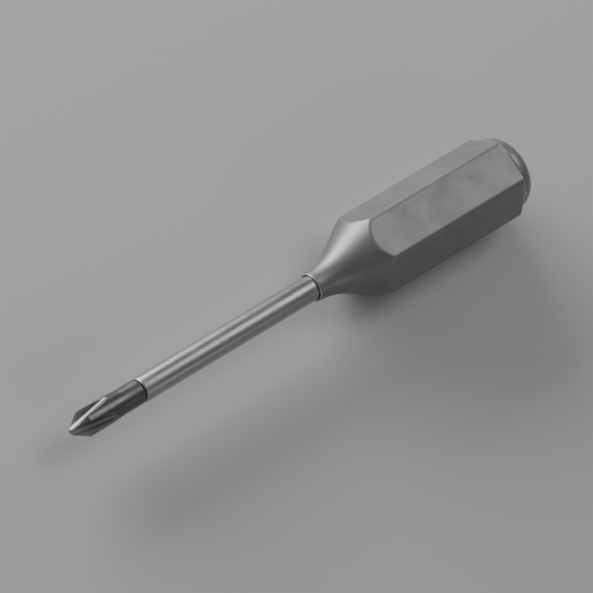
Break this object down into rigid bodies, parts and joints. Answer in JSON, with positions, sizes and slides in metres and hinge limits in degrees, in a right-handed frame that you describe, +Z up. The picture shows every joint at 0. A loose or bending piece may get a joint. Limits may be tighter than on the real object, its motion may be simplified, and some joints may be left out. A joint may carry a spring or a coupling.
{
  "type": "screwdriver",
  "caption": "Small precision screwdriver with a hexagonal metal handle, a flared neck, a swivelling end cap and a removable cross-recess bit.",
  "frame": {"origin": "on the surface the tool lies on, below the middle of its length", "axes": "+X along the tool from the bit's tip to the swivel cap, +Z up, square to the flat it lies on"},
  "size_m": [0.125, 0.0192, 0.017],
  "materials": {
    "handle_aluminium": "satin grey anodised, fine bead-blasted",
    "cap_aluminium": "satin grey anodised, turned",
    "shaft_steel": "ground, satin",
    "bit_steel": "dark tool steel, satin",
    "cover_steel": "turned, satin",
    "fastener_steel": "plain steel, satin",
    "bearing_steel": "ground and polished",
    "magnet_nickel": "nickel plated",
    "brass_fittings": "turned, satin",
    "seal_rubber": "matte black",
    "washer_plastic": "matte white"
  },
  "bodies": {
    "handle": {"handle_shell": "handle_aluminium", "drive_shaft": "shaft_steel", "socket_magnet": "magnet_nickel", "drive_collar": "brass_fittings", "collar_pin": "fastener_steel", "disc_spring": "fastener_steel", "spacer_tube": "brass_fittings", "end_plug": "brass_fittings", "plug_o_ring": "seal_rubber", "bearing_outer_ring": "bearing_steel", "bearing_front_shield": "fastener_steel", "bearing_rear_shield": "fastener_steel", "bearing_circlip": "fastener_steel", "thrust_washer": "washer_plastic"},
    "cap": {"swivel_cap": "cap_aluminium", "cap_disc": "cover_steel", "axle_screw": "fastener_steel", "axle_nut": "fastener_steel", "bearing_inner_ring": "bearing_steel"},
    "cage": {"bearing_cage": "brass_fittings", "bearing_ball_1": "bearing_steel", "bearing_ball_2": "bearing_steel", "bearing_ball_3": "bearing_steel", "bearing_ball_4": "bearing_steel", "bearing_ball_5": "bearing_steel", "bearing_ball_6": "bearing_steel", "bearing_ball_7": "bearing_steel"},
    "bit": {"driver_bit": "bit_steel"}
  },
  "joints": [
    {"name": "cap_spin", "type": "hinge", "parent": "handle", "child": "cap", "pos_m": [0.0515, 0, 0.0085], "axis": [1, 0, 0], "continuous": true},
    {"name": "cage_spin", "type": "hinge", "parent": "handle", "child": "cage", "pos_m": [0.0515, 0, 0.0085], "axis": [1, 0, 0], "continuous": true},
    {"name": "bit_pull", "type": "slide", "parent": "handle", "child": "bit", "axis": [-1, 0, 0], "range_m": [0, 0.012]}
  ],
  "couplings": [
    {"joint": "cage_spin", "follows": "cap_spin", "ratio": 0.3855}
  ]
}
